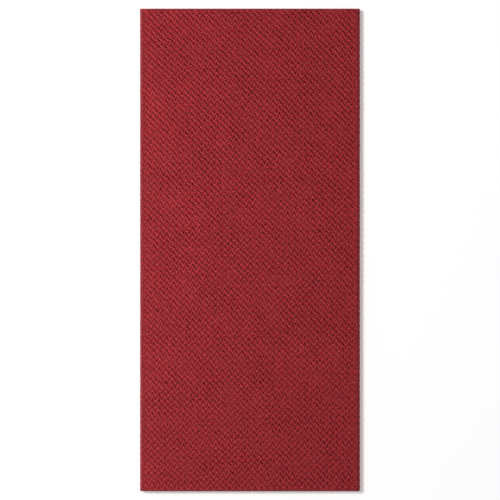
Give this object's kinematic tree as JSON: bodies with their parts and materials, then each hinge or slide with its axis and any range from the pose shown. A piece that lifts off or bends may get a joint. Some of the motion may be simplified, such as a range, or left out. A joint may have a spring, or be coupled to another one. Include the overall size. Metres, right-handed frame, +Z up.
{
  "type": "paper napkin",
  "caption": "Red embossed paper dinner napkin, folded to an eighth into a long flat rectangle.",
  "frame": {"origin": "middle of the folded napkin, on the surface that it lies on", "axes": "+Y along the napkin's length, from the fold to the cut edges; +X towards the closed long side; +Z up, out of its face"},
  "size_m": [0.0984, 0.216, 0.0055],
  "materials": {
    "tissue": "matt, soft, with small slanted dents pressed all over"
  },
  "bodies": {
    "root": {"napkin": "tissue"}
  },
  "joints": []
}
